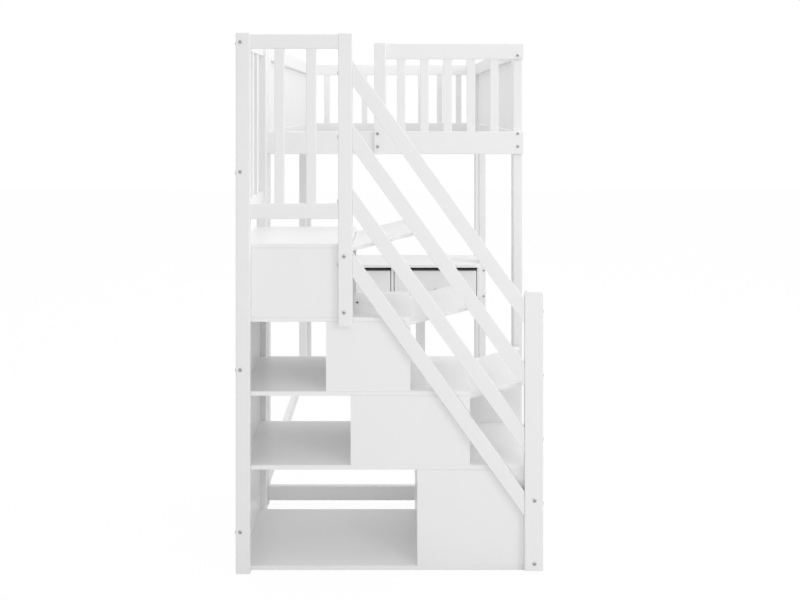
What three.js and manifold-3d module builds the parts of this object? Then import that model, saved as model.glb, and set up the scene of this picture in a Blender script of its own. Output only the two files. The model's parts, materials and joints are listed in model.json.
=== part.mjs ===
// Loft bed with a storage staircase across its near end and a two-drawer desk under its far end.
// Millimetres, +Z up. The stairs climb towards -X at the near end (-Y), and the bed runs along +Y.
// The origin is the centre of the overall outline at floor level.

import * as THREE from 'three';
import { mergeVertices } from 'three/addons/utils/BufferGeometryUtils.js';
import Module from 'manifold-3d';

const wasm = await Module();
wasm.setup();

// Overall sizes
const overallWidth = 1070;
const bedHeight = 1876;
const stairDepth = 545;
const bedLength = 1990;
const overallLength = stairDepth + bedLength;
const halfWidth = overallWidth / 2;

// Timber and board sections
const postWidth = 38;
const postDepth = 70;
const postEdge = 4;
const railThickness = 22;
const railEdge = 3;
const slatThickness = 16;
const slatWidth = 34;
const slatEdge = 3;
const boardThickness = 15;
const doorThickness = 12;
const roundSteps = 3;
const bevelEdge = 2;
const bevelSteps = 2;
const mergeTolerance = 1e-4;

// Small gaps between pieces
const seatGap = 0.3;
const doorGap = 1;
const drawerGap = 4;

// Bolt heads
const boltDiameter = 13;
const boltHeadHeight = 2;
const boltSides = 12;
const boltRoot = 1;
const endBoltInset = 22.4;
const guardBoltDrop = 22;
const upperRailBoltDrop = 23;
const lowerRailBoltRise = 36;
const frontPostTopBoltDrop = 32;
const frontPostLandingBoltRise = 253;
const frontPostLowBolts = [708, 146];
const sideBoltDrop = 5;
const deskUpperBoltDrop = 16;
const deskLowerBoltDrop = 163;
const newelLandingBoltDrop = 40;
const newelTreadBoltRise = 24;
const newelTreadBoltDrop = 111;
const newelBaseBoltRise = 21;
const stileBoltOffset = 9;
const tenon = 8;

// Bed frame
const sideRailThickness = 24;
const railBelowTop = 448;
const railHeight = 91;
const railBottom = bedHeight - railBelowTop;
const railTop = railBottom + railHeight;
const guardRailWidth = 63;
const guardTopDrop = 1;
const guardTop = bedHeight - guardTopDrop;
const guardBottom = guardTop - guardRailWidth;
const endBoltRise = 31;
const endBoltDrop = 8;
const guardBoltRise = 14;
const battenSeat = 1;
const ledgerSize = 15;
const ledgerWidth = 20;
const battenCount = 13;
const battenWidth = 70;
const battenThickness = 15;
const battenEndGap = 3;
const sidePanelThickness = 12;
const nearSlatCount = 5;
const nearSlatPitch = 94;
const nearSlatOffset = 8.5;
const farSlatCount = 8;
const farSlatPitch = 115;
const guardStileWidth = 47;
const guardStileReach = 67;
const stretcherHeight = 58;
const endStretcherBottom = 20;
const sideStretcherBottom = 28;

// Desk
const deskDepth = 361;
const deskPastPost = 7;
const deskOverhang = 65;
const deskBottom = 707;
const deskThickness = 15;
const deskCorner = 30;
const deskCornerSteps = 8;
const caseHeight = 177;
const caseSetback = 30;
const caseTopDrop = 12;
const caseTopThickness = 8;
const runnerWidth = 10;
const runnerHeight = 10;
const drawerFrontHeight = 144;
const drawerTopGap = 3;
const drawerRearGap = 1;
const drawerWall = 10;
const drawerSideHeight = 95;
const knobDiameter = 22;
const knobReach = 22;
const knobSides = 16;
const knobAboveBottom = 35;
const deskLegWidth = 55;
const deskLegInner = 140;
const deskLegThickness = 22;

// Stairs
const frontLayer = 29;
const stairPostWidth = 50;
const newelWidth = 50;
const upperNewelReach = 179.5;
const upperNewelBelowTread = 24.7;
const upperNewelDrop = 2;
const upperNewelBoltInset = 20.5;
const lowerNewelLeft = 468;
const lowerNewelWidth = 64;
const lowerNewelTop = 979;
const lowerNewelBottom = 10;
const lowerNewelRound = 12;
const lowerNewelRoundSteps = 6;
const lowerNewelBoltInset = 33.3;
const landingHeight = 1141;
const stepRise = 258.3;
const stepRun = 208.5;
const landingEdgeReach = 137;
const lowestStepRun = 236;
const upperBoxWidth = 295;
const middleBoxWidth = 417.5;
const lowestBoxWidth = 420;
const shortPostTop = 650;
const guardRailHeight = 50;
const guardRailDrop = 4;
const guardLowRailRise = 89;
const guardLowRailHeight = 53;
const guardSlatCount = 2;
const guardSlatFirst = 101;
const guardSlatPitch = 110.5;
const sideGuardSlatCount = 3;
const sideGuardInset = 4;
const handrailWidth = 50;
const handrailThickness = 21;
const handrailCount = 4;
const handrailSpacing = 222.5;
const handrailBelowNewel = 137;
const handrailBelowLowerNewel = 70.5;
const rearPostWidth = 38;
const rearPostDepth = 48;

// Riser doors
const hingeDrop = 10;
const hingeInset = 6;
const pinDiameter = 6;
const pinReach = 8;
const pinClearance = 0.4;
const pinRoot = 1;
const doorAboveHinge = 5;
const doorOpenAngle = 104.3;

// Positions worked out from the sizes
const bedNear = stairDepth + railThickness;
const bedFar = overallLength - railThickness;
const postInner = halfWidth - postWidth;
const railInner = halfWidth - sideRailThickness;
const nearPostBack = bedNear + postDepth;
const farPostFront = bedFar - postDepth;
const deskBack = farPostFront + deskPastPost;
const deskFront = deskBack - deskDepth;
const deskPostFront = deskFront + deskOverhang;
const battenBottom = railBottom + ledgerSize;
const stairBack = stairDepth - rearPostDepth;
const treadTop = (step) => landingHeight - step * stepRise;
const riserPlanes = [0, 1, 2, 3].map((step) => (
  -landingEdgeReach + Math.min(step, 2) * stepRun + (step > 2 ? lowestStepRun : 0)
));
const panelFace = frontLayer;
const panelInner = panelFace + boardThickness;
const backInner = stairBack - boardThickness;
const carcassLeft = -halfWidth + boardThickness;
const stairPostRight = -halfWidth + stairPostWidth;
const upperNewelLeft = -upperNewelReach;
const upperNewelRight = upperNewelLeft + newelWidth;
const lowerNewelRight = lowerNewelLeft + lowerNewelWidth;
const rearPostFront = stairBack;
const upperNewelTop = bedHeight - upperNewelDrop;
const upperNewelBottom = treadTop(1) - upperNewelBelowTread;
const guardLowRailBottom = landingHeight + guardLowRailRise;
const guardRailTop = bedHeight - guardRailDrop;
const handrailHighEnd = upperNewelTop - handrailBelowNewel;
const handrailLowEnd = lowerNewelTop - handrailBelowLowerNewel;
const endBoltHeights = [railBottom + endBoltRise, railTop - endBoltDrop];
const postBoltHeights = [
  guardTop - guardBoltDrop,
  railTop - upperRailBoltDrop,
  railBottom + lowerRailBoltRise,
  sideStretcherBottom + stretcherHeight / 2,
];
const deskBoltHeights = [deskBottom - deskUpperBoltDrop, deskBottom - deskLowerBoltDrop];
const frontPostBoltHeights = [
  bedHeight - frontPostTopBoltDrop,
  landingHeight + frontPostLandingBoltRise,
  ...frontPostLowBolts,
];

// Materials
const whitePaint = () => new THREE.MeshStandardMaterial({ color: 0xf2f2f2, roughness: 0.45, metalness: 0 });
const whiteBoard = () => new THREE.MeshStandardMaterial({ color: 0xf4f4f4, roughness: 0.35, metalness: 0 });
const satinSteel = () => new THREE.MeshStandardMaterial({ color: 0x9a9a9e, roughness: 0.35, metalness: 0.9 });

const assembly = new THREE.Group();

function addPiece(name, geometry, material) {
  const mesh = new THREE.Mesh(geometry, material);
  mesh.name = name;
  assembly.add(mesh);
  return mesh;
}

// Solid geometry helpers

function bare(geometry) {
  const copy = geometry.clone();
  copy.deleteAttribute('normal');
  copy.deleteAttribute('uv');
  return mergeVertices(copy, mergeTolerance);
}

function toSolid(geometry) {
  const merged = bare(geometry);
  return new wasm.Manifold(new wasm.Mesh({
    numProp: 3,
    vertProperties: new Float32Array(merged.attributes.position.array),
    triVerts: new Uint32Array(merged.index.array),
  }));
}

function toGeometry(solid) {
  const mesh = solid.getMesh();
  const geometry = new THREE.BufferGeometry();
  geometry.setAttribute('position', new THREE.BufferAttribute(mesh.vertProperties, 3));
  geometry.setIndex(new THREE.BufferAttribute(mesh.triVerts, 1));
  return geometry;
}

function cut(geometry, tools) {
  let solid = toSolid(geometry);
  for (const tool of tools) solid = solid.subtract(toSolid(tool));
  return toGeometry(solid);
}

function join(geometries) {
  let solid = toSolid(geometries[0]);
  for (const other of geometries.slice(1)) solid = solid.add(toSolid(other));
  return toGeometry(solid);
}

function roundedRect(width, height, radius) {
  const shape = new THREE.Shape();
  const right = width / 2;
  const top = height / 2;
  shape.moveTo(right, -top + radius);
  shape.absarc(right - radius, top - radius, radius, 0, Math.PI / 2);
  shape.absarc(-right + radius, top - radius, radius, Math.PI / 2, Math.PI);
  shape.absarc(-right + radius, -top + radius, radius, Math.PI, Math.PI * 1.5);
  shape.absarc(right - radius, -top + radius, radius, Math.PI * 1.5, Math.PI * 2);
  return shape;
}

// A bar between two corners, with rounded edges along the axis given
function bar(low, high, axis, radius) {
  const size = high.map((value, i) => value - low[i]);
  const centre = high.map((value, i) => (value + low[i]) / 2);
  const turns = {
    x: { across: size[1], up: size[2], length: size[0] },
    y: { across: size[0], up: size[2], length: size[1] },
    z: { across: size[0], up: size[1], length: size[2] },
  }[axis];
  const geometry = new THREE.ExtrudeGeometry(roundedRect(turns.across, turns.up, radius), {
    depth: turns.length,
    steps: 1,
    bevelEnabled: false,
    curveSegments: roundSteps,
  });
  geometry.translate(0, 0, -turns.length / 2);
  if (axis === 'x') {
    geometry.rotateX(Math.PI / 2);
    geometry.rotateZ(Math.PI / 2);
  }
  if (axis === 'y') geometry.rotateX(Math.PI / 2);
  geometry.translate(...centre);
  return geometry;
}

// A square-edged board between two corners
function board(low, high) {
  const geometry = new THREE.BoxGeometry(high[0] - low[0], high[1] - low[1], high[2] - low[2]);
  geometry.translate((low[0] + high[0]) / 2, (low[1] + high[1]) / 2, (low[2] + high[2]) / 2);
  return geometry;
}

// A round bar from a point along one of the axes, with its sign
function round(start, direction, diameter, length, sides) {
  const geometry = new THREE.CylinderGeometry(diameter / 2, diameter / 2, length, sides);
  geometry.translate(0, length / 2, 0);
  const turn = new THREE.Quaternion().setFromUnitVectors(
    new THREE.Vector3(0, 1, 0),
    new THREE.Vector3(...direction),
  );
  geometry.applyQuaternion(turn);
  geometry.translate(...start);
  return geometry;
}

function mirrored(side, near, far) {
  return side > 0 ? [near, far] : [-far, -near];
}

// A bolt head rooted just inside the face that it stands on, with a clearance round it where it is a recess
function boltShape([point, direction], clearance) {
  const root = point.map((value, i) => value - direction[i] * boltRoot);
  const reach = boltRoot + boltHeadHeight + clearance;
  return round(root, direction, boltDiameter + 2 * clearance, reach, boltSides);
}

function boltHead(place) {
  return boltShape(place, 0);
}

function boltRecess(place) {
  return boltShape(place, seatGap);
}

function bolted(geometry, places) {
  return join([geometry, ...places.map(boltHead)]);
}

// Bed posts, four full height and two shorter ones that carry the desk

function bedPosts() {
  const places = [
    ['bed_post_near_left', -1, bedNear, bedHeight],
    ['bed_post_near_right', 1, bedNear, bedHeight],
    ['bed_post_far_left', -1, farPostFront, bedHeight],
    ['bed_post_far_right', 1, farPostFront, bedHeight],
    ['desk_post_left', -1, deskPostFront, railBottom],
    ['desk_post_right', 1, deskPostFront, railBottom],
  ];
  for (const [name, side, front, height] of places) {
    const [low, high] = mirrored(side, postInner, halfWidth);
    const post = bar([low, front, 0], [high, front + postDepth, height], 'z', postEdge);
    const heights = height < bedHeight ? deskBoltHeights : postBoltHeights;
    const bolts = heights.map((z) => [[side * halfWidth, front + postDepth / 2, z], [side, 0, 0]]);
    addPiece(name, bolted(post, bolts), whitePaint());
  }
}

// Long side rails with the solid guard panels above them

function bedSides() {
  for (const [label, side] of [['left', -1], ['right', 1]]) {
    const [railLow, railHigh] = mirrored(side, railInner, halfWidth);
    addPiece(
      `side_rail_${label}`,
      bar([railLow, nearPostBack, railBottom], [railHigh, farPostFront, railTop], 'y', railEdge),
      whitePaint(),
    );
    const [topLow, topHigh] = mirrored(side, postInner, halfWidth);
    const panelMiddle = halfWidth - sideRailThickness / 2;
    const [panelLow, panelHigh] = mirrored(
      side,
      panelMiddle - sidePanelThickness / 2,
      panelMiddle + sidePanelThickness / 2,
    );
    addPiece(`side_guard_${label}`, join([
      bar([topLow, nearPostBack, guardBottom], [topHigh, farPostFront, guardTop], 'y', railEdge),
      board([panelLow, nearPostBack, railTop], [panelHigh, farPostFront, guardBottom + tenon]),
    ]), whitePaint());
  }
}

function slatRow(centres, width, thickness, middle, bottom, top) {
  return centres.map((centre) => bar(
    [centre - width / 2, middle - thickness / 2, bottom],
    [centre + width / 2, middle + thickness / 2, top],
    'z',
    slatEdge,
  ));
}

// The near end: full rail, and a guard that leaves the way in from the landing open
function nearEnd() {
  const front = stairDepth;
  const middle = front + railThickness / 2;
  const railBolts = endBoltHeights.map((z) => [[halfWidth - endBoltInset, front, z], [0, -1, 0]]);
  addPiece('end_rail_near', bolted(
    bar([-halfWidth, front, railBottom], [halfWidth, bedNear, railTop], 'x', railEdge),
    railBolts,
  ), whitePaint());
  const guardStileLeft = -guardStileReach;
  const stileRight = guardStileLeft + guardStileWidth;
  const stileMiddle = guardStileLeft + guardStileWidth / 2;
  const centres = [];
  for (let i = 1; i <= nearSlatCount; i += 1) {
    centres.push(stileMiddle - nearSlatOffset + i * nearSlatPitch);
  }
  const cornerBolt = [[halfWidth - endBoltInset, front, guardBottom + guardBoltRise], [0, -1, 0]];
  addPiece('near_guard', join([
    bar([guardStileLeft, front, guardBottom], [halfWidth, bedNear, guardTop], 'x', railEdge),
    ...slatRow(centres, slatWidth, slatThickness, middle, railTop, guardBottom + tenon),
    boltHead(cornerBolt),
  ]), whitePaint());
  const stileFront = front - railThickness;
  const stileBolts = endBoltHeights.map((z) => [[stileMiddle - stileBoltOffset, stileFront, z], [0, -1, 0]]);
  addPiece('near_guard_stile', bolted(
    bar([guardStileLeft, stileFront, railBottom], [stileRight, front, guardTop], 'z', railEdge),
    stileBolts,
  ), whitePaint());
}

function farEnd() {
  const back = overallLength;
  const middle = back - railThickness / 2;
  const railBolts = [-1, 1].flatMap((side) => endBoltHeights.map((z) => (
    [[side * (halfWidth - endBoltInset), back, z], [0, 1, 0]]
  )));
  addPiece('end_rail_far', bolted(
    bar([-halfWidth, bedFar, railBottom], [halfWidth, back, railTop], 'x', railEdge),
    railBolts,
  ), whitePaint());
  const centres = [];
  for (let i = 0; i < farSlatCount; i += 1) {
    centres.push((i - (farSlatCount - 1) / 2) * farSlatPitch);
  }
  const guardBolts = [-1, 1].map((side) => (
    [[side * (halfWidth - endBoltInset), back, guardBottom + guardBoltRise], [0, 1, 0]]
  ));
  addPiece('far_guard', join([
    bar([-halfWidth, bedFar, guardBottom], [halfWidth, back, guardTop], 'x', railEdge),
    ...slatRow(centres, slatWidth, slatThickness, middle, railTop, guardBottom + tenon),
    ...guardBolts.map(boltHead),
  ]), whitePaint());
}

// Ledgers inside the side rails and the battens that lie on them
function mattressBase() {
  const solids = [];
  for (const side of [-1, 1]) {
    const [low, high] = mirrored(side, railInner - ledgerWidth, railInner);
    solids.push(board([low, nearPostBack, railBottom], [high, farPostFront, battenBottom]));
  }
  const half = railInner - battenEndGap;
  const first = nearPostBack + battenWidth / 2 + battenEndGap;
  const last = farPostFront - battenWidth / 2 - battenEndGap;
  for (let i = 0; i < battenCount; i += 1) {
    const middle = first + ((last - first) * i) / (battenCount - 1);
    solids.push(bar(
      [-half, middle - battenWidth / 2, battenBottom - battenSeat],
      [half, middle + battenWidth / 2, battenBottom - battenSeat + battenThickness],
      'x',
      slatEdge,
    ));
  }
  addPiece('bed_battens', join(solids), whitePaint());
}

function stretchers() {
  addPiece('stretcher_near', bar(
    [-postInner, bedNear, endStretcherBottom],
    [postInner, bedNear + railThickness, endStretcherBottom + stretcherHeight],
    'x',
    railEdge,
  ), whitePaint());
  for (const [label, side] of [['left', -1], ['right', 1]]) {
    const [low, high] = mirrored(side, railInner, halfWidth);
    addPiece(`stretcher_${label}`, bar(
      [low, nearPostBack, sideStretcherBottom],
      [high, deskPostFront, sideStretcherBottom + stretcherHeight],
      'y',
      railEdge,
    ), whitePaint());
  }
}

// Desk: top with rounded front corners, drawer case, legs and two drawers

const caseBottom = deskBottom - caseHeight;
const caseFront = deskFront + caseSetback;
const caseBack = deskBack - boardThickness;
const drawerBoxFront = caseFront + boardThickness;
const drawerDepth = caseBack - drawerBoxFront - drawerRearGap;
const caseTopUnderside = deskBottom - caseTopDrop - caseTopThickness;
const drawerFrontBottom = caseTopUnderside - drawerTopGap - drawerFrontHeight;
const runnerTop = caseBottom + runnerHeight;
const bayInner = boardThickness / 2;
const bayOuter = postInner - boardThickness;

function deskTop() {
  const shape = new THREE.Shape();
  shape.moveTo(-postInner, deskBack);
  shape.lineTo(-postInner, deskFront + deskCorner);
  shape.absarc(-postInner + deskCorner, deskFront + deskCorner, deskCorner, Math.PI, Math.PI * 1.5);
  shape.lineTo(postInner - deskCorner, deskFront);
  shape.absarc(postInner - deskCorner, deskFront + deskCorner, deskCorner, -Math.PI / 2, 0);
  shape.lineTo(postInner, deskBack);
  shape.closePath();
  const geometry = new THREE.ExtrudeGeometry(shape, {
    depth: deskThickness,
    steps: 1,
    bevelEnabled: false,
    curveSegments: deskCornerSteps,
  });
  geometry.translate(0, 0, deskBottom);
  addPiece('desk_top', geometry, whiteBoard());
}

function deskCase() {
  const groove = caseBack + boardThickness / 2;
  const runnerFront = drawerBoxFront + doorGap;
  const topEnd = bayOuter + boardThickness / 2;
  const solids = [
    board([-postInner, caseBack, caseBottom], [postInner, deskBack, deskBottom]),
    board([-bayInner, caseFront, caseBottom], [bayInner, groove, deskBottom]),
    board([-topEnd, caseFront, caseTopUnderside], [topEnd, groove, caseTopUnderside + caseTopThickness]),
  ];
  for (const side of [-1, 1]) {
    const [low, high] = mirrored(side, bayOuter, postInner);
    const [outerLow, outerHigh] = mirrored(side, bayOuter - runnerWidth, postInner);
    const [innerLow, innerHigh] = mirrored(side, 0, bayInner + runnerWidth);
    solids.push(
      board([low, caseFront, caseBottom], [high, groove, deskBottom]),
      board([outerLow, runnerFront, caseBottom], [outerHigh, groove, runnerTop]),
      board([innerLow, runnerFront, caseBottom], [innerHigh, groove, runnerTop]),
    );
  }
  addPiece('desk_case', join(solids), whiteBoard());
}

function deskLegs() {
  for (const [label, side] of [['left', -1], ['right', 1]]) {
    const [low, high] = mirrored(side, deskLegInner, deskLegInner + deskLegWidth);
    addPiece(`desk_leg_${label}`, bar(
      [low, caseBack - deskLegThickness / 2, 0],
      [high, caseBack + deskLegThickness / 2, caseBottom],
      'z',
      railEdge,
    ), whitePaint());
  }
}

function drawers() {
  for (const [label, side] of [['left', -1], ['right', 1]]) {
    const inner = bayInner + drawerGap;
    const outer = bayOuter - drawerGap;
    const [low, high] = mirrored(side, inner, outer);
    const boxBottom = runnerTop + seatGap;
    const boxTop = boxBottom + drawerSideHeight;
    const outside = board([low, drawerBoxFront, boxBottom], [high, drawerBoxFront + drawerDepth, boxTop]);
    const hollow = board(
      [low + drawerWall, drawerBoxFront + drawerWall, boxBottom + drawerWall],
      [high - drawerWall, drawerBoxFront + drawerDepth - drawerWall, boxTop + drawerWall],
    );
    const face = board(
      [low, caseFront, drawerFrontBottom],
      [high, drawerBoxFront, drawerFrontBottom + drawerFrontHeight],
    );
    addPiece(`drawer_${label}`, join([cut(outside, [hollow]), face]), whiteBoard());
    const middle = (low + high) / 2;
    const profile = [
      [0, 0], [knobDiameter * 0.28, 0], [knobDiameter * 0.24, knobReach * 0.45],
      [knobDiameter * 0.5, knobReach * 0.62], [knobDiameter * 0.5, knobReach * 0.86],
      [knobDiameter * 0.36, knobReach], [0, knobReach],
    ].map(([radius, along]) => new THREE.Vector2(radius, along));
    const knob = new THREE.LatheGeometry(profile, knobSides);
    knob.rotateZ(Math.PI);
    knob.translate(middle, caseFront, drawerFrontBottom + knobAboveBottom);
    addPiece(`drawer_knob_${label}`, bare(knob), satinSteel());
  }
}

// Stair posts and newels

// Bolts of the handrails on the outer side of a newel
function handrailBolts(face, highest, side) {
  const places = [];
  for (let i = 0; i < handrailCount; i += 1) {
    places.push([[face, frontLayer / 2, highest - i * handrailSpacing], [side, 0, 0]]);
  }
  return places;
}

function stairPosts() {
  const frontPost = bar([-halfWidth, 0, 0], [stairPostRight, frontLayer, bedHeight], 'z', postEdge);
  addPiece('stair_post_front', bolted(frontPost, frontPostBoltHeights.flatMap((z) => [
    [[-halfWidth + stairPostWidth / 3, 0, z], [0, -1, 0]],
    [[-halfWidth, frontLayer / 2, z - sideBoltDrop], [-1, 0, 0]],
  ])), whitePaint());
  const back = rearPostFront + rearPostDepth;
  addPiece('stair_post_rear', bar(
    [-halfWidth, rearPostFront, 0],
    [-halfWidth + rearPostWidth, back, bedHeight],
    'z',
    postEdge,
  ), whitePaint());
  addPiece('stair_post_short', bar(
    [riserPlanes[3] - rearPostWidth, rearPostFront, 0],
    [riserPlanes[3], back, shortPostTop],
    'z',
    postEdge,
  ), whitePaint());
  const upperBolts = [landingHeight - newelLandingBoltDrop, treadTop(1) + newelTreadBoltRise].map((z) => (
    [[upperNewelLeft + upperNewelBoltInset, 0, z], [0, -1, 0]]
  ));
  upperBolts.push(...handrailBolts(upperNewelLeft, handrailHighEnd, -1));
  addPiece('newel_upper', bolted(bar(
    [upperNewelLeft, 0, upperNewelBottom],
    [upperNewelRight, frontLayer, upperNewelTop],
    'z',
    postEdge,
  ), upperBolts), whitePaint());
  lowerNewel();
}

function lowerNewel() {
  const shape = new THREE.Shape();
  const top = lowerNewelTop;
  const radius = lowerNewelRound;
  shape.moveTo(lowerNewelLeft, lowerNewelBottom);
  shape.lineTo(lowerNewelRight, lowerNewelBottom);
  shape.lineTo(lowerNewelRight, top - radius);
  shape.absarc(lowerNewelRight - radius, top - radius, radius, 0, Math.PI / 2);
  shape.lineTo(lowerNewelLeft + radius, top);
  shape.absarc(lowerNewelLeft + radius, top - radius, radius, Math.PI / 2, Math.PI);
  shape.closePath();
  const geometry = new THREE.ExtrudeGeometry(shape, {
    depth: frontLayer - 2 * bevelEdge,
    steps: 1,
    bevelEnabled: true,
    bevelThickness: bevelEdge,
    bevelSize: bevelEdge,
    bevelOffset: -bevelEdge,
    bevelSegments: bevelSteps,
    curveSegments: lowerNewelRoundSteps,
  });
  geometry.translate(0, 0, bevelEdge);
  geometry.rotateX(Math.PI / 2);
  geometry.translate(0, frontLayer, 0);
  const bolts = [treadTop(3) - newelTreadBoltDrop, boardThickness + newelBaseBoltRise].map((z) => (
    [[lowerNewelLeft + lowerNewelBoltInset, 0, z], [0, -1, 0]]
  ));
  bolts.push(...handrailBolts(lowerNewelRight, handrailLowEnd, 1));
  addPiece('newel_lower', bolted(geometry, bolts), whitePaint());
}

// Guard round the landing, front and left side

function landingGuard() {
  const middle = frontLayer / 2;
  const low = middle - railThickness / 2;
  const high = middle + railThickness / 2;
  const railPlaces = [
    [guardRailTop - guardRailHeight, guardRailTop],
    [guardLowRailBottom, guardLowRailBottom + guardLowRailHeight],
  ];
  const sideLow = -halfWidth + sideGuardInset;
  const sideHigh = sideLow + railThickness;
  const frontSolids = [];
  const sideSolids = [];
  for (const [bottom, top] of railPlaces) {
    frontSolids.push(bar([stairPostRight, low, bottom], [upperNewelLeft, high, top], 'x', railEdge));
    sideSolids.push(bar([sideLow, frontLayer, bottom], [sideHigh, rearPostFront, top], 'y', railEdge));
  }
  const slatBottom = guardLowRailBottom + guardLowRailHeight - tenon;
  const slatTop = guardRailTop - guardRailHeight + tenon;
  const centres = [];
  for (let i = 0; i < guardSlatCount; i += 1) {
    centres.push(stairPostRight + guardSlatFirst + i * guardSlatPitch);
  }
  frontSolids.push(...slatRow(centres, slatWidth, slatThickness, middle, slatBottom, slatTop));
  const recesses = handrailBolts(upperNewelLeft, handrailHighEnd, -1).map(boltRecess);
  addPiece('landing_guard_front', cut(join(frontSolids), recesses), whitePaint());
  const sideMiddle = (sideLow + sideHigh) / 2;
  const pitch = (rearPostFront - frontLayer) / (sideGuardSlatCount + 1);
  for (let i = 1; i <= sideGuardSlatCount; i += 1) {
    const centre = frontLayer + i * pitch;
    sideSolids.push(bar(
      [sideMiddle - slatThickness / 2, centre - slatWidth / 2, slatBottom],
      [sideMiddle + slatThickness / 2, centre + slatWidth / 2, slatTop],
      'z',
      slatEdge,
    ));
  }
  addPiece('landing_guard_side', join(sideSolids), whitePaint());
}

// Slanted handrails between the two newels, with upright ends
function handrails() {
  const run = lowerNewelLeft - upperNewelRight;
  const drop = handrailHighEnd - handrailLowEnd;
  const halfUpright = (handrailWidth / 2) * Math.hypot(1, drop / run);
  const low = (frontLayer - handrailThickness) / 2;
  for (let i = 0; i < handrailCount; i += 1) {
    const high = handrailHighEnd - i * handrailSpacing;
    const bottom = handrailLowEnd - i * handrailSpacing;
    const shape = new THREE.Shape();
    shape.moveTo(upperNewelRight, high - halfUpright);
    shape.lineTo(lowerNewelLeft, bottom - halfUpright);
    shape.lineTo(lowerNewelLeft, bottom + halfUpright);
    shape.lineTo(upperNewelRight, high + halfUpright);
    shape.closePath();
    const geometry = new THREE.ExtrudeGeometry(shape, {
      depth: handrailThickness - 2 * bevelEdge,
      steps: 1,
      bevelEnabled: true,
      bevelThickness: bevelEdge,
      bevelSize: bevelEdge,
      bevelOffset: -bevelEdge,
      bevelSegments: bevelSteps,
    });
    geometry.translate(0, 0, bevelEdge);
    geometry.rotateX(Math.PI / 2);
    geometry.translate(0, low + handrailThickness, 0);
    addPiece(`handrail_${i + 1}`, bare(geometry), whitePaint());
  }
}

// Stair carcass: side panel, landing, treads, base and the closed boxes under the steps

function hingeAxis(step) {
  return {
    x: riserPlanes[step] - hingeInset,
    z: treadTop(step) - boardThickness - hingeDrop,
  };
}

function pinHole(step, start, direction) {
  const axis = hingeAxis(step);
  return round(
    [axis.x, start, axis.z],
    [0, direction, 0],
    pinDiameter + 2 * pinClearance,
    pinReach + 2 * pinClearance,
    boltSides,
  );
}

function pairedPanels(name, step, left, bottom, top) {
  const right = riserPlanes[step];
  const reach = pinReach + pinClearance;
  addPiece(`${name}_outer`, cut(
    board([left, panelFace, bottom + seatGap], [right, panelInner, top - seatGap]),
    [pinHole(step, panelInner + pinClearance, -1)],
  ), whiteBoard());
  addPiece(`${name}_back`, cut(
    board([left, backInner, bottom + seatGap], [right, stairBack, top - seatGap]),
    [pinHole(step, backInner + reach - pinReach - 2 * pinClearance, 1)],
  ), whiteBoard());
}

function carcass() {
  const landingUnderside = landingHeight - boardThickness;
  addPiece('stair_side_panel', board(
    [-halfWidth, panelFace, 0],
    [carcassLeft, stairBack, landingUnderside],
  ), whiteBoard());
  addPiece('landing_board', board(
    [-halfWidth, panelFace, landingUnderside],
    [riserPlanes[0], stairBack, landingHeight],
  ), whiteBoard());
  pairedPanels('landing_panel', 0, carcassLeft, treadTop(1), landingUnderside);
  for (let step = 1; step <= 3; step += 1) {
    addPiece(`tread_${step}`, board(
      [carcassLeft, panelFace, treadTop(step) - boardThickness],
      [riserPlanes[step], stairBack, treadTop(step)],
    ), whiteBoard());
  }
  addPiece('stair_base', board(
    [carcassLeft, panelFace, 0],
    [riserPlanes[3], stairBack, boardThickness],
  ), whiteBoard());
  const boxWidths = [upperBoxWidth, middleBoxWidth, lowestBoxWidth];
  for (let step = 1; step <= 3; step += 1) {
    const left = riserPlanes[step] - boxWidths[step - 1];
    const top = treadTop(step) - boardThickness;
    const bottom = step < 3 ? treadTop(step + 1) : boardThickness;
    pairedPanels(`box_${step}`, step, left, bottom, top);
    addPiece(`box_${step}_partition`, board(
      [left, panelInner, bottom],
      [left + boardThickness, backInner, top],
    ), whiteBoard());
  }
  addPiece('lowest_step_back', board(
    [riserPlanes[2] + seatGap, backInner, treadTop(3)],
    [riserPlanes[3], stairBack, treadTop(2) - boardThickness],
  ), whiteBoard());
}

// Riser doors hung on pins under the front edge of each step
function riserDoors() {
  for (let step = 0; step <= 3; step += 1) {
    const axis = hingeAxis(step);
    const stepBottom = step < 3 ? treadTop(step + 1) : boardThickness;
    const below = axis.z - stepBottom - doorGap;
    const front = panelInner + doorGap;
    const back = backInner - doorGap;
    const leaf = board([-doorThickness / 2, front, -below], [doorThickness / 2, back, doorAboveHinge]);
    const pinLength = pinRoot + doorGap + pinReach - pinClearance;
    const pins = [
      round([0, front + pinRoot, 0], [0, -1, 0], pinDiameter, pinLength, boltSides),
      round([0, back - pinRoot, 0], [0, 1, 0], pinDiameter, pinLength, boltSides),
    ];
    const door = join([leaf, ...pins]);
    if (step < 3) door.rotateY(THREE.MathUtils.degToRad(-doorOpenAngle));
    door.translate(axis.x, 0, axis.z);
    addPiece(`riser_door_${step}`, door, whiteBoard());
  }
}

bedPosts();
bedSides();
nearEnd();
farEnd();
mattressBase();
stretchers();
deskTop();
deskCase();
deskLegs();
drawers();
stairPosts();
landingGuard();
handrails();
carcass();
riserDoors();

// The depth values above run from the front of the stairs, so the whole is moved to its centre
const loftBed = new THREE.Group();
loftBed.name = 'loft_bed_with_storage_stairs';
assembly.position.set(0, -overallLength / 2, 0);
loftBed.add(assembly);
loftBed.updateMatrixWorld(true);

export default loftBed;
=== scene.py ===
"""Loft bed with storage stairs: painted timber, white boards and steel bolts in a white studio."""

import json
import math

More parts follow.
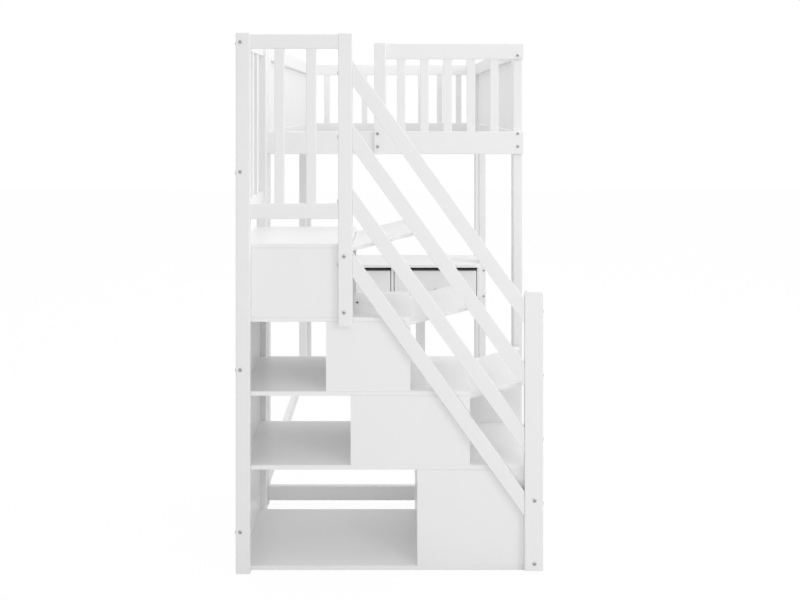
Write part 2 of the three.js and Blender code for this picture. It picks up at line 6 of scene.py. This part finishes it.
import bpy
import numpy as np
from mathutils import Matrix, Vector

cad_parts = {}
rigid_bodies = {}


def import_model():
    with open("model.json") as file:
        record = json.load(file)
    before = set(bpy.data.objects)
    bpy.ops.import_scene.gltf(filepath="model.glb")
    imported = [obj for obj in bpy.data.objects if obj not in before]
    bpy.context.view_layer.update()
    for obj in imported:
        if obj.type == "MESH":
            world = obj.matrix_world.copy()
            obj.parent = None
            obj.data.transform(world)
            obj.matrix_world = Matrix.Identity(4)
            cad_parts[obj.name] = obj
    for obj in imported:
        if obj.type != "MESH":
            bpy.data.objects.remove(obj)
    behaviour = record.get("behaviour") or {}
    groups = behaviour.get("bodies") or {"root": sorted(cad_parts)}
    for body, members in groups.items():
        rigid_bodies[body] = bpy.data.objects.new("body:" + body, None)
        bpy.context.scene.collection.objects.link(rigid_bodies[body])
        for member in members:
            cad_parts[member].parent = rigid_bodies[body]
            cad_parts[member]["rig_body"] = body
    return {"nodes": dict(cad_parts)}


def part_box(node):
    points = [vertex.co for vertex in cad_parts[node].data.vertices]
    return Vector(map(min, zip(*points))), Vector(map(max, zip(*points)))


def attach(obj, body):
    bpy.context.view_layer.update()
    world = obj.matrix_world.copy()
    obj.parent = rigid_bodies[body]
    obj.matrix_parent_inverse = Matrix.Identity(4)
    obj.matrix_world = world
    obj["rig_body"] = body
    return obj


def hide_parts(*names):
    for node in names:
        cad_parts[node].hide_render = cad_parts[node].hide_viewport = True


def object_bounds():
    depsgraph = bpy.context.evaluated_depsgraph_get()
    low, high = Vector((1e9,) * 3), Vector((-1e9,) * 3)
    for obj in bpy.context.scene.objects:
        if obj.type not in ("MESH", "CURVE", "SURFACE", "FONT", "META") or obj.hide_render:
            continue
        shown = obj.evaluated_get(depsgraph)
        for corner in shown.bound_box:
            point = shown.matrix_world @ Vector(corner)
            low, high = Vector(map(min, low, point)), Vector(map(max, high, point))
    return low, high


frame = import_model()
CAD_LOW, CAD_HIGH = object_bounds()
NODES = frame["nodes"]

# Photograph's camera: metres, pixels of the 800 by 600 image, and the sensor in millimetres
IMAGE_WIDTH = 800
IMAGE_HEIGHT = 600
FOCAL_PIXELS = 950
SENSOR_WIDTH = 36
CAMERA_DISTANCE = 3.292
CAMERA_SIDE = 0.023
CAMERA_HEIGHT = 1.622
CENTRE_LINE_X = 396.5
CENTRE_LINE_Y = 106.1
CLIP_START = 0.05
CLIP_END = 60

# Colours of the finishes, linear
PAINT = (0.88, 0.88, 0.883)
BOARD = (0.9, 0.9, 0.902)
STEEL = (0.5, 0.5, 0.51)
KNOB_STEEL = (0.58, 0.58, 0.585)
# The socket's colour is painted shade: the dark of the hex recess in the steel head
SOCKET_PAINTED_SHADE = (0.14, 0.14, 0.145)
STOP_BLACK = (0.03, 0.03, 0.031)

# Sprayed finish: scale and detail of its noises, and how far its roughness varies
CLOUD_NOISE = (2.3, 3.0)
PATCH_NOISE = (16.0, 4.0)
STIPPLE_DETAIL = 2.0
GLOSS_VARIATION = 0.12

# Timber grain: scale, detail and roughness of its noises, and how it is stretched across and along
LINE_NOISE = (3.0, 5.0, 0.6)
PORE_NOISE = (11.0, 3.0, 0.55)
PORE_SHARE = 0.6
GRAIN_ACROSS = 60.0
GRAIN_ALONG = 1.6
GRAIN_DEPTH = 0.5

# Each finish: its roughness, how far its tone varies, and the scale of its stipple
PAINT_ROUGHNESS = 0.42
PAINT_VARIATION = 0.02
PAINT_STIPPLE = 700.0
BOARD_ROUGHNESS = 0.36
BOARD_VARIATION = 0.012
BOARD_STIPPLE = 900.0
METAL_VARIATION = 0.14
WHITE_SPECULAR = 0.4

# Bumps, as strength and distance in metres
SPRAY_BUMP = (0.12, 0.0002)
GRAIN_BUMP = (0.25, 0.0006)
METAL_BUMP = (0.2, 0.0001)

# Raised discs of the CAD pieces, and how exactly they are looked for
DISC_RADIUS = 0.0065
DISC_PROUD = 0.002
DISC_SIDES = 12
DISC_REACH = 2.1 * DISC_RADIUS
PLANE_TOLERANCE = 1e-5
RADIUS_TOLERANCE = 1e-4
POINT_DIGITS = 5

# Bolt heads over the discs, with heights above the face that a disc stands on
HEAD_RADIUS = 0.0071
HEAD_ROOT = 0.0003
HEAD_RIM = 0.0022
HEAD_CROWN = 0.0034
SOCKET_APOTHEM = 0.0026
SOCKET_FLOOR = 0.0022
HEAD_SIDES = 24
SHARP_DEGREES = 38

# Outside of a head from its root to its socket, as (distance in from the radius, height)
HEAD_PROFILE = (
    (0.0, -HEAD_ROOT),
    (0.0, HEAD_RIM - 0.0004),
    (0.0002, HEAD_RIM),
    (0.0012, HEAD_RIM + 0.0005),
    (0.0026, HEAD_CROWN - 0.0002),
    (0.0037, HEAD_CROWN),
)

# Socket of a head from its edge to its middle, as (share of the hexagon, height)
SOCKET_PROFILE = (
    (1.0, HEAD_CROWN),
    (0.96, HEAD_CROWN - 0.0002),
    (0.94, SOCKET_FLOOR),
    (0.02, SOCKET_FLOOR - 0.0001),
)

# Heads on the front of the desk posts, from the post's outer face and below the desk top
DESK_HEAD_INSET = 0.012
DESK_HEAD_DROPS = (0.0265, 0.174)

# The stop stud on the upper tread, measured from the landing's right edge and the tread's near edge
STOP_FROM_LANDING = 0.013
STOP_DEPTH = 0.249
STOP_RADIUS = 0.0045
STOP_PROUD = 0.0045
STOP_ROOT = 0.0003
STOP_EDGE = 0.001
STOP_EDGE_STEPS = 5
STOP_MIDDLE_SHARE = 0.02

# Eased edges of the boards
BOARD_EDGE = 0.0009
BOARD_EDGE_STEPS = 2
BOARD_EDGE_DEGREES = 40
WELD_DISTANCE = 1e-5

# Painted shade in the slots over the drawers: the case's wall, slot and board below the desk top, margin, and
# share of white
CASE_WALL = 0.015
SLOT_HEIGHT = 0.02
SLOT_MARGIN = 0.0003
SLOT_PAINTED_SHADE_SHARE = 0.05

# Floor: its half width, its drop below the feet, its own white, and how much of what is seen is plain white
FLOOR_REACH = 14.0
FLOOR_BELOW = 0.0005
FLOOR_WHITE = 0.65
FLOOR_ROUGHNESS = 0.9
FLOOR_SHARE = 0.93
FLOOR_GLOW = 1.03

# Grey of the world as light, and the soft lamps as (place, target, side in metres, power in watts)
WORLD_LEVEL = 0.74
LAMPS = {
    "right": ((3.4, -0.8, 2.8), (0.2, -0.9, 0.8), 2.0, 42),
    "front": ((3.0, -4.8, 2.8), (0.0, -0.8, 0.9), 1.6, 32),
    "low": ((0.2, -4.8, 0.7), (0.0, -0.6, 0.7), 2.5, 20),
    "top": ((0.2, 0.2, 4.4), (0.0, 0.0, 0.8), 3.4, 40),
}

# CAD nodes by their finish and the run of their timber, where the nodes not named are upright timber
KNOB_START = "drawer_knob"
TIMBER_ALONG_X = ("end_rail_near", "end_rail_far", "bed_battens", "stretcher_near", "near_guard", "far_guard")
TIMBER_ALONG_Y = (
    "side_rail_left",
    "side_rail_right",
    "side_guard_left",
    "side_guard_right",
    "stretcher_left",
    "stretcher_right",
)
BOARD_STARTS = (
    "box_",
    "tread_",
    "riser_door_",
    "landing_board",
    "landing_panel",
    "stair_side",
    "stair_base",
    "lowest_step_back",
    "desk_top",
    "desk_case",
    "drawer_left",
    "drawer_right",
)
BOARD_NODES = tuple(name for name in NODES if name.startswith(BOARD_STARTS))


def new_group(name, inputs, outputs):
    """A shader node group, with its inputs and outputs given as (name, socket type)."""
    group = bpy.data.node_groups.new(name, "ShaderNodeTree")
    for label, kind in inputs:
        group.interface.new_socket(label, in_out="INPUT", socket_type=kind)
    for label, kind in outputs:
        group.interface.new_socket(label, in_out="OUTPUT", socket_type=kind)
    start = group.nodes.new("NodeGroupInput")
    end = group.nodes.new("NodeGroupOutput")
    return group, start, end


def place_group(tree, group, **values):
    """Puts a node group into a material and sets its inputs."""
    node = tree.nodes.new("ShaderNodeGroup")
    node.node_tree = group
    for label, value in values.items():
        node.inputs[label.replace("_", " ")].default_value = value
    return node


def feed(tree, socket, value):
    """Links another node's output to an input, or sets the input to a plain value."""
    if isinstance(value, bpy.types.NodeSocket):
        tree.links.new(value, socket)
    else:
        socket.default_value = value


def math_node(tree, operation, first, second, clamp=False):
    """A Math node with its two inputs linked or set."""
    node = tree.nodes.new("ShaderNodeMath")
    node.operation = operation
    node.use_clamp = clamp
    feed(tree, node.inputs[0], first)
    feed(tree, node.inputs[1], second)
    return node.outputs[0]


def noise_node(tree, vector, scale, detail, roughness=0.5):
    """A Noise texture read at a vector, with its scale linked or set."""
    node = tree.nodes.new("ShaderNodeTexNoise")
    tree.links.new(vector, node.inputs["Vector"])
    feed(tree, node.inputs["Scale"], scale)
    node.inputs["Detail"].default_value = detail
    node.inputs["Roughness"].default_value = roughness
    return node.outputs["Fac"]


def bump_node(tree, height, strength, distance):
    """A Bump node over a height."""
    node = tree.nodes.new("ShaderNodeBump")
    node.inputs["Strength"].default_value = strength
    node.inputs["Distance"].default_value = distance
    tree.links.new(height, node.inputs["Height"])
    return node


def scaled_colour(tree, colour, factor):
    """A colour, linked or set, times a factor."""
    node = tree.nodes.new("ShaderNodeVectorMath")
    node.operation = "SCALE"
    feed(tree, node.inputs[0], colour)
    tree.links.new(factor, node.inputs["Scale"])
    return node.outputs[0]


def sprayed_finish():
    """Group: the fine stipple of a sprayed coat, faint clouds in its tone and faint patches in its gloss."""
    group, start, end = new_group(
        "sprayed_finish",
        [
            ("Vector", "NodeSocketVector"),
            ("Colour", "NodeSocketColor"),
            ("Tone Variation", "NodeSocketFloat"),
            ("Stipple Scale", "NodeSocketFloat"),
            ("Gloss", "NodeSocketFloat"),
        ],
        [("Colour", "NodeSocketColor"), ("Roughness", "NodeSocketFloat"), ("Height", "NodeSocketFloat")],
    )
    vector = start.outputs["Vector"]
    cloud = noise_node(group, vector, *CLOUD_NOISE)
    patch = noise_node(group, vector, *PATCH_NOISE)
    stipple = noise_node(group, vector, start.outputs["Stipple Scale"], STIPPLE_DETAIL)
    centred = math_node(group, "SUBTRACT", math_node(group, "ADD", cloud, patch), 1.0)
    shift = math_node(group, "MULTIPLY", centred, start.outputs["Tone Variation"])
    factor = math_node(group, "ADD", shift, 1.0)
    group.links.new(scaled_colour(group, start.outputs["Colour"], factor), end.inputs["Colour"])
    wear = math_node(group, "MULTIPLY", math_node(group, "SUBTRACT", patch, 0.5), GLOSS_VARIATION)
    roughness = math_node(group, "ADD", start.outputs["Gloss"], wear, clamp=True)
    group.links.new(roughness, end.inputs["Roughness"])
    group.links.new(stipple, end.inputs["Height"])
    return group


def timber_grain():
    """Group: long shallow growth lines under the paint, along the axis that the Stretch vector shrinks."""
    group, start, end = new_group(
        "timber_grain",
        [("Vector", "NodeSocketVector"), ("Stretch", "NodeSocketVector")],
        [("Height", "NodeSocketFloat")],
    )
    stretch = group.nodes.new("ShaderNodeVectorMath")
    stretch.operation = "MULTIPLY"
    group.links.new(start.outputs["Vector"], stretch.inputs[0])
    group.links.new(start.outputs["Stretch"], stretch.inputs[1])
    lines = noise_node(group, stretch.outputs[0], *LINE_NOISE)
    pores = noise_node(group, stretch.outputs[0], *PORE_NOISE)
    both = math_node(group, "ADD", lines, math_node(group, "MULTIPLY", pores, PORE_SHARE))
    group.links.new(math_node(group, "MULTIPLY", both, GRAIN_DEPTH), end.inputs["Height"])
    return group


SPRAYED = sprayed_finish()
GRAIN = timber_grain()


def coated_material(name, colour, roughness, variation, stipple):
    """A material with the sprayed finish, and its shader, Object coordinates and finish group."""
    material = bpy.data.materials.new(name)
    material.use_nodes = True
    tree = material.node_tree
    shader = tree.nodes["Principled BSDF"]
    vector = tree.nodes.new("ShaderNodeTexCoord").outputs["Object"]
    coat = place_group(
        tree,
        SPRAYED,
        Colour=(*colour, 1),
        Tone_Variation=variation,
        Stipple_Scale=stipple,
        Gloss=roughness,
    )
    tree.links.new(vector, coat.inputs["Vector"])
    tree.links.new(coat.outputs["Colour"], shader.inputs["Base Color"])
    tree.links.new(coat.outputs["Roughness"], shader.inputs["Roughness"])
    return material, shader, vector, coat


def timber_finish(name, grain_axis):
    """Sprayed white paint over timber grain that runs along one axis."""
    material, shader, vector, coat = coated_material(
        name,
        PAINT,
        PAINT_ROUGHNESS,
        PAINT_VARIATION,
        PAINT_STIPPLE,
    )
    tree = material.node_tree
    stretch = [GRAIN_ACROSS] * 3
    stretch[grain_axis] = GRAIN_ALONG
    grain = place_group(tree, GRAIN, Stretch=stretch)
    tree.links.new(vector, grain.inputs["Vector"])
    under = bump_node(tree, grain.outputs["Height"], *GRAIN_BUMP)
    bump = bump_node(tree, coat.outputs["Height"], *SPRAY_BUMP)
    tree.links.new(under.outputs["Normal"], bump.inputs["Normal"])
    tree.links.new(bump.outputs["Normal"], shader.inputs["Normal"])
    shader.inputs["Specular IOR Level"].default_value = WHITE_SPECULAR
    return material


def inside_box(tree, vector, low, high):
    """The socket that is 1 inside a box mirrored about the middle plane, and 0 outside it."""
    apart = tree.nodes.new("ShaderNodeSeparateXYZ")
    tree.links.new(vector, apart.inputs["Vector"])
    across = math_node(tree, "ABSOLUTE", apart.outputs["X"], 0.0)
    places = (across, apart.outputs["Y"], apart.outputs["Z"])
    inside = 1.0
    for operation, corner in (("GREATER_THAN", low), ("LESS_THAN", high)):
        for place, limit in zip(places, corner):
            inside = math_node(tree, "MULTIPLY", inside, math_node(tree, operation, place, limit))
    return inside


def board_finish(name, painted_shade_box=None):
    """Smooth sprayed white of a board, with dark painted shade inside a box of the piece's own coordinates if
    one is given.
    """
    material, shader, vector, coat = coated_material(
        name,
        BOARD,
        BOARD_ROUGHNESS,
        BOARD_VARIATION,
        BOARD_STIPPLE,
    )
    tree = material.node_tree
    bump = bump_node(tree, coat.outputs["Height"], *SPRAY_BUMP)
    tree.links.new(bump.outputs["Normal"], shader.inputs["Normal"])
    shader.inputs["Specular IOR Level"].default_value = WHITE_SPECULAR
    if painted_shade_box is not None:
        # Painted shade: the white inside the box is darkened to a small share of itself
        inside = inside_box(tree, vector, *painted_shade_box)
        factor = math_node(tree, "SUBTRACT", 1.0, math_node(tree, "MULTIPLY", inside, 1 - SLOT_PAINTED_SHADE_SHARE))
        tree.links.new(scaled_colour(tree, BOARD, factor), coat.inputs["Colour"])
    return material


def painted_shade_slot_box():
    """The box of the painted shade: the slots and the board over them, between the case's divider, sides and
    back.
    """
    low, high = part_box("desk_case")
    return (
        (CASE_WALL / 2 - SLOT_MARGIN, low[1] - SLOT_MARGIN, high[2] - SLOT_HEIGHT - SLOT_MARGIN),
        (high[0] - CASE_WALL + SLOT_MARGIN, high[1] - CASE_WALL + SLOT_MARGIN, high[2]),
    )


def metal_finish(name, colour, roughness, metallic, stipple):
    """Satin metal with a fine stipple and a faintly uneven tone."""
    material, shader, _, coat = coated_material(name, colour, roughness, METAL_VARIATION, stipple)
    tree = material.node_tree
    bump = bump_node(tree, coat.outputs["Height"], *METAL_BUMP)
    tree.links.new(bump.outputs["Normal"], shader.inputs["Normal"])
    shader.inputs["Metallic"].default_value = metallic
    return material


TIMBER = [timber_finish(f"painted_timber_{label}", axis) for axis, label in enumerate("xyz")]
BOARD_WHITE = board_finish("white_board")
# The desk case's finish, with painted shade in its slots over the drawers
CASE_BOARD_PAINTED_SHADE = board_finish("desk_case_board_painted_shade", painted_shade_slot_box())
BOLT_STEEL = metal_finish("bolt_steel", STEEL, roughness=0.38, metallic=0.85, stipple=2200.0)
KNOB_METAL = metal_finish("knob_steel", KNOB_STEEL, roughness=0.3, metallic=0.9, stipple=1500.0)
# Painted shade for the hex sockets, darker than the head's own steel
SOCKET_SHADE = metal_finish("bolt_socket_painted_shade", SOCKET_PAINTED_SHADE, roughness=0.6, metallic=0.4, stipple=1500.0)
STOP_METAL = metal_finish("stop_black", STOP_BLACK, roughness=0.5, metallic=0.2, stipple=1500.0)


def dress(obj, material):
    """Gives an object one material in all of its slots."""
    if not obj.data.materials:
        obj.data.materials.append(material)
    for i in range(len(obj.data.materials)):
        obj.data.materials[i] = material


def dress_nodes():
    """Gives each CAD node the finish of its timber, board or metal."""
    for name, obj in NODES.items():
        if name in BOARD_NODES:
            dress(obj, BOARD_WHITE)
        elif name.startswith(KNOB_START):
            dress(obj, KNOB_METAL)
        elif name in TIMBER_ALONG_X:
            dress(obj, TIMBER[0])
        elif name in TIMBER_ALONG_Y:
            dress(obj, TIMBER[1])
        else:
            dress(obj, TIMBER[2])


def eased_board(name):
    """A copy of a board with its sharp edges eased by a small bevel, standing for the CAD board."""
    source = NODES[name]
    piece = bpy.data.objects.new(f"{name}_eased", source.data.copy())
    bpy.context.scene.collection.objects.link(piece)
    weld = piece.modifiers.new("weld", "WELD")
    weld.merge_threshold = WELD_DISTANCE
    bevel = piece.modifiers.new("edges", "BEVEL")
    bevel.width = BOARD_EDGE
    bevel.segments = BOARD_EDGE_STEPS
    bevel.limit_method = "ANGLE"
    bevel.angle_limit = math.radians(BOARD_EDGE_DEGREES)
    # The desk case takes the finish with painted shade in its slots
    dress(piece, CASE_BOARD_PAINTED_SHADE if name == "desk_case" else BOARD_WHITE)
    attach(piece, source["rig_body"])
    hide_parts(name)


def turned_to(points, direction):
    """Points made about +Z, turned so that +Z lies along an axis direction."""
    direction = np.array(direction, float)
    helper = np.array([0.0, 0.0, 1.0]) if abs(direction[2]) < 0.5 else np.array([1.0, 0.0, 0.0])
    across = np.cross(helper, direction)
    across /= np.linalg.norm(across)
    up = np.cross(direction, across)
    return points[:, :1] * across + points[:, 1:2] * up + points[:, 2:] * direction


def ring_angles():
    """The angles of the points round a head or a stud."""
    return np.linspace(0, 2 * math.pi, HEAD_SIDES, endpoint=False)


def ring_points(radius, height):
    """Points of rings about +Z, ring by ring: x = r cos t, y = r sin t and z = h."""
    radius, height, angle = np.broadcast_arrays(radius, height, ring_angles())
    return np.stack([radius * np.cos(angle), radius * np.sin(angle), height], axis=2).reshape(-1, 3)


def ring_quads(rings):
    """Quads between neighbouring rings of a grid that closes on itself, row by row."""
    row = np.arange(rings - 1)[:, None] * HEAD_SIDES
    column = np.arange(HEAD_SIDES)[None, :]
    following = (column + 1) % HEAD_SIDES
    above = row + HEAD_SIDES
    quads = np.stack([row + column, row + following, above + following, above + column], axis=2)
    return quads.reshape(-1, 4)


def bolt_head():
    """One button head about +Z: round rings from its root over its crown, then the hexagons of its socket.

    A hexagon of apothem a has the radius a / cos(t - 60 k degrees), with t - 60 k between -30 and 30 degrees.
    Returns the points, the quads and a mask of the quads that belong to the socket."""
    sixth = math.pi / 3
    hexagon = SOCKET_APOTHEM / np.cos((ring_angles() + sixth / 2) % sixth - sixth / 2)
    outside = [np.full(HEAD_SIDES, HEAD_RADIUS - inset) for inset, _ in HEAD_PROFILE]
    radius = np.array(outside + [hexagon * share for share, _ in SOCKET_PROFILE])
    height = np.array([level for _, level in HEAD_PROFILE + SOCKET_PROFILE])[:, None]
    quads = ring_quads(len(radius))
    in_socket = np.arange(len(quads)) >= (len(HEAD_PROFILE) + 1) * HEAD_SIDES
    return ring_points(radius, height), quads, in_socket


def node_points(name):
    """The different vertices of a CAD node, in metres."""
    mesh = NODES[name].data
    points = np.empty(len(mesh.vertices) * 3)
    mesh.vertices.foreach_get("co", points)
    return np.unique(np.round(points.reshape(-1, 3), POINT_DIGITS), axis=0)


def bolt_places(name):
    """The raised discs of a CAD node as (centre, direction) pairs.

    A disc is a point and a ring of vertices a disc's radius from it,
    in one of the node's six outermost planes."""
    points = node_points(name)
    places = []
    for axis in range(3):
        for sign in (-1, 1):
            level = (points[:, axis] * sign).max()
            rim = points[points[:, axis] * sign > level - PLANE_TOLERANCE]
            direction = np.zeros(3)
            direction[axis] = sign
            while len(rim):
                near = np.linalg.norm(rim - rim[0], axis=1) < DISC_REACH
                centre = rim[near].mean(axis=0)
                spread = np.sort(np.linalg.norm(rim[near] - centre, axis=1))[1:]
                if len(spread) == DISC_SIDES and np.abs(spread - DISC_RADIUS).max() < RADIUS_TOLERANCE:
                    places.append((centre - direction * DISC_PROUD, direction))
                rim = rim[~near]
    return places


def desk_front_places():
    """The heads on the front of the desk posts, whose CAD pieces have discs on their outer sides alone."""
    desk_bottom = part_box("desk_top")[0][2]
    places = []
    for side, name in ((-1, "desk_post_left"), (1, "desk_post_right")):
        low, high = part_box(name)
        outer = high[0] - DISC_PROUD if side > 0 else low[0] + DISC_PROUD
        for drop in DESK_HEAD_DROPS:
            centre = np.array([outer - side * DESK_HEAD_INSET, low[1], desk_bottom - drop])
            places.append((centre, (0, -1, 0)))
    return places


def make_mesh(name, points, faces, materials, body, face_materials=None):
    """A new piece at the origin with its place in its mesh, smooth except across its sharp edges."""
    mesh = bpy.data.meshes.new(name)
    mesh.from_pydata(points.tolist(), [], faces.tolist())
    mesh.polygons.foreach_set("use_smooth", np.ones(len(faces), dtype=bool))
    mesh.set_sharp_from_angle(angle=math.radians(SHARP_DEGREES))
    for material in materials:
        mesh.materials.append(material)
    if face_materials is not None:
        mesh.polygons.foreach_set("material_index", face_materials.astype(np.int32))
    mesh.validate()
    mesh.update()
    piece = bpy.data.objects.new(name, mesh)
    bpy.context.scene.collection.objects.link(piece)
    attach(piece, body)


def bolt_heads(label, node_starts, more_places=()):
    """One piece with a steel head on every disc of the nodes whose names start so, and at more places."""
    points, quads, in_socket = bolt_head()
    places = list(more_places)
    for name in NODES:
        if name.startswith(node_starts):
            places.extend(bolt_places(name))
    # The socket quads take the second material, the painted shade of the recess
    make_mesh(
        f"bolt_heads_{label}",
        np.concatenate([turned_to(points, way) + centre for centre, way in places]),
        np.concatenate([quads + i * len(points) for i in range(len(places))]),
        [BOLT_STEEL, SOCKET_SHADE],
        "frame",
        np.tile(in_socket.astype(int), len(places)),
    )


def tread_stop():
    """A black steel stud standing on the upper tread, a stop for the door above it.

    It is a straight side of radius R, and a rounded edge of radius e on top:
    the radius is R - e (1 - cos u) and the height H - e (1 - sin u), for u from 0 to 90 degrees."""
    tread_low, tread_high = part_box("tread_1")
    landing_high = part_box("landing_board")[1]
    turn = np.linspace(0, math.pi / 2, STOP_EDGE_STEPS)
    edge_radius = STOP_RADIUS - STOP_EDGE * (1 - np.cos(turn))
    edge_height = STOP_PROUD - STOP_EDGE * (1 - np.sin(turn))
    radius = np.concatenate([[STOP_RADIUS], edge_radius, [STOP_RADIUS * STOP_MIDDLE_SHARE]])[:, None]
    height = np.concatenate([[-STOP_ROOT], edge_height, [STOP_PROUD]])[:, None]
    centre = np.array([landing_high[0] + STOP_FROM_LANDING, tread_low[1] + STOP_DEPTH, tread_high[2]])
    make_mesh(
        "tread_stop",
        ring_points(radius, height) + centre,
        ring_quads(len(radius)),
        [STOP_METAL],
        "frame",
    )


def make_camera():
    """A level camera that looks along +Y, shifted as the photograph's frame is."""
    data = bpy.data.cameras.new("camera")
    data.sensor_width = SENSOR_WIDTH
    data.lens = FOCAL_PIXELS / IMAGE_WIDTH * SENSOR_WIDTH
    data.shift_x = (IMAGE_WIDTH / 2 - CENTRE_LINE_X) / IMAGE_WIDTH
    data.shift_y = (CENTRE_LINE_Y - IMAGE_HEIGHT / 2) / IMAGE_WIDTH
    data.clip_start = CLIP_START
    data.clip_end = CLIP_END
    camera = bpy.data.objects.new("camera", data)
    front_plane = CAD_LOW.y + DISC_PROUD
    camera.location = (CAMERA_SIDE, front_plane - CAMERA_DISTANCE, CAMERA_HEIGHT)
    camera.rotation_euler = (math.radians(90), 0, 0)
    bpy.context.scene.collection.objects.link(camera)
    bpy.context.scene.camera = camera


def area_light(name, place, target, size, power):
    """A square soft lamp that faces a target point."""
    data = bpy.data.lights.new(name, "AREA")
    data.shape = "SQUARE"
    data.size = size
    data.energy = power
    lamp = bpy.data.objects.new(name, data)
    lamp.location = place
    direction = np.array(target, float) - np.array(place, float)
    lamp.rotation_mode = "QUATERNION"
    lamp.rotation_quaternion = Vector(direction).to_track_quat("-Z", "Y")
    bpy.context.scene.collection.objects.link(lamp)


def backdrop_rays(tree):
    """The socket that is 1 for the rays that see the backdrop: camera, glossy and transmission rays."""
    path = tree.nodes.new("ShaderNodeLightPath")
    reached = path.outputs["Is Camera Ray"]
    for ray in ("Is Glossy Ray", "Is Transmission Ray"):
        reached = math_node(tree, "MAXIMUM", reached, path.outputs[ray])
    return reached


def make_world(level):
    """White to the camera and to mirrors, and a grey of the given level as light."""
    world = bpy.data.worlds.new("studio")
    bpy.context.scene.world = world
    world.use_nodes = True
    tree = world.node_tree
    background = tree.nodes["Background"]
    mix = tree.nodes.new("ShaderNodeMapRange")
    mix.inputs["To Min"].default_value = level
    mix.inputs["To Max"].default_value = 1.0
    tree.links.new(backdrop_rays(tree), mix.inputs["Value"])
    tree.links.new(mix.outputs["Result"], background.inputs["Strength"])
    background.inputs["Color"].default_value = (1, 1, 1, 1)


def make_floor():
    """A wide white floor: mostly plain white where it is seen, with some of its own shading for a shadow."""
    mesh = bpy.data.meshes.new("floor")
    signs = ((-1, -1), (1, -1), (1, 1), (-1, 1))
    corners = [(x * FLOOR_REACH, y * FLOOR_REACH, -FLOOR_BELOW) for x, y in signs]
    mesh.from_pydata(corners, [], [(0, 1, 2, 3)])
    floor = bpy.data.objects.new("floor", mesh)
    bpy.context.scene.collection.objects.link(floor)
    material = bpy.data.materials.new("studio_floor")
    material.use_nodes = True
    tree = material.node_tree
    shader = tree.nodes["Principled BSDF"]
    shader.inputs["Base Color"].default_value = (FLOOR_WHITE, FLOOR_WHITE, FLOOR_WHITE, 1)
    shader.inputs["Roughness"].default_value = FLOOR_ROUGHNESS
    shader.inputs["Specular IOR Level"].default_value = 0.0
    glow = tree.nodes.new("ShaderNodeEmission")
    glow.inputs["Strength"].default_value = FLOOR_GLOW
    mix = tree.nodes.new("ShaderNodeMixShader")
    tree.links.new(math_node(tree, "MULTIPLY", backdrop_rays(tree), FLOOR_SHARE), mix.inputs["Fac"])
    tree.links.new(shader.outputs["BSDF"], mix.inputs[1])
    tree.links.new(glow.outputs["Emission"], mix.inputs[2])
    tree.links.new(mix.outputs["Shader"], tree.nodes["Material Output"].inputs["Surface"])
    mesh.materials.append(material)


bpy.context.scene.view_settings.view_transform = "Standard"
make_camera()
dress_nodes()
for board_name in BOARD_NODES:
    eased_board(board_name)
bolt_heads("bed", ("bed_post", "near_guard", "far_guard", "end_rail"))
bolt_heads("desk", ("desk_post",), desk_front_places())
bolt_heads("stairs", ("stair_post", "newel_"))
tread_stop()
make_world(WORLD_LEVEL)
make_floor()
for lamp_name, settings in LAMPS.items():
    area_light(lamp_name, *settings)
